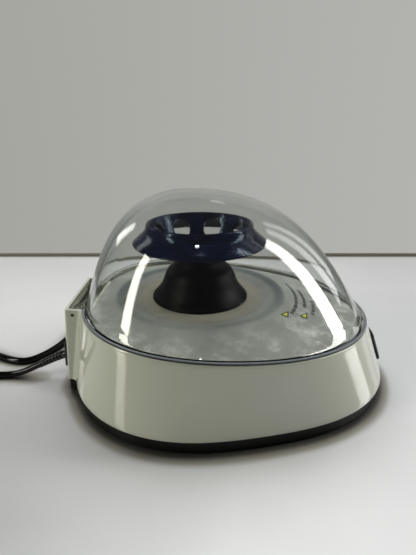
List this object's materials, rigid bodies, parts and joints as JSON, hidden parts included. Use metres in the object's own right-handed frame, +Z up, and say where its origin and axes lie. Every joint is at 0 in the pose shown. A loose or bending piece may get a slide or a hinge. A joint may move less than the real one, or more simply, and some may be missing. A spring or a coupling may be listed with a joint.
{
  "type": "laboratory centrifuge",
  "caption": "Compact bench-top mini centrifuge with a clear hinged dome lid, an angled micro-tube rotor on a central motor cowl, a nose power switch and a mains lead.",
  "frame": {"origin": "on the bench under the middle of the machine's length and width, the lead not counted", "axes": "+X to the nose with the power switch, -X to the hinge and the lead, +Z up along the rotor axis, which stands 16 mm behind the origin"},
  "size_m": [0.3113, 0.2206, 0.112],
  "materials": {
    "shell": "glossy ivory",
    "pan": "matt black",
    "deck": "satin pale grey-green",
    "cowl": "satin black",
    "rotor": "glossy blue-black",
    "clear": "clear",
    "rubber": "matt",
    "cord": "glossy black",
    "steel": "brushed",
    "hub": "turned",
    "black": "glossy black",
    "grey": "light grey",
    "board": "green laminate",
    "core": "dark varnish",
    "can": "dark anodised",
    "pins": "plated"
  },
  "bodies": {
    "base": {"body_shell": "shell", "base_pan": "pan", "rubber_feet": "rubber", "pan_screws": "steel", "deck": "deck", "motor_cowl": "cowl", "motor_can": "steel", "motor_plate": "steel", "motor_grommets": "rubber", "motor_screws": "steel", "hinge_pin": "steel", "reed_switch": "black", "rocker_bezel": "black", "cord_plate": "black", "fuse_cap": "grey", "strain_relief": "cord", "power_cord": "cord", "cord_coil": "cord", "cord_tail": "cord", "plug_body": "cord", "plug_pins": "pins", "circuit_board": "board", "board_capacitors": "can", "transformer": "core"},
    "lid": {"lid_dome": "clear", "lid_magnet": "steel"},
    "rotor": {"rotor": "rotor", "rotor_hub": "hub", "rotor_nut": "hub", "motor_shaft": "steel"},
    "rocker": {"rocker_paddle": "black"}
  },
  "joints": [
    {"name": "lid_hinge", "type": "hinge", "parent": "base", "child": "lid", "pos_m": [-0.08459, 0, 0.0488], "axis": [0, -1, 0], "range_deg": [0, 78]},
    {"name": "rotor_spin", "type": "hinge", "parent": "base", "child": "rotor", "pos_m": [-0.01579, 0, 0.08], "axis": [0, 0, 1], "continuous": true},
    {"name": "rocker_switch", "type": "hinge", "parent": "base", "child": "rocker", "pos_m": [0.08804, 0, 0.0179], "axis": [0, 1, 0], "range_deg": [0, 24]}
  ]
}
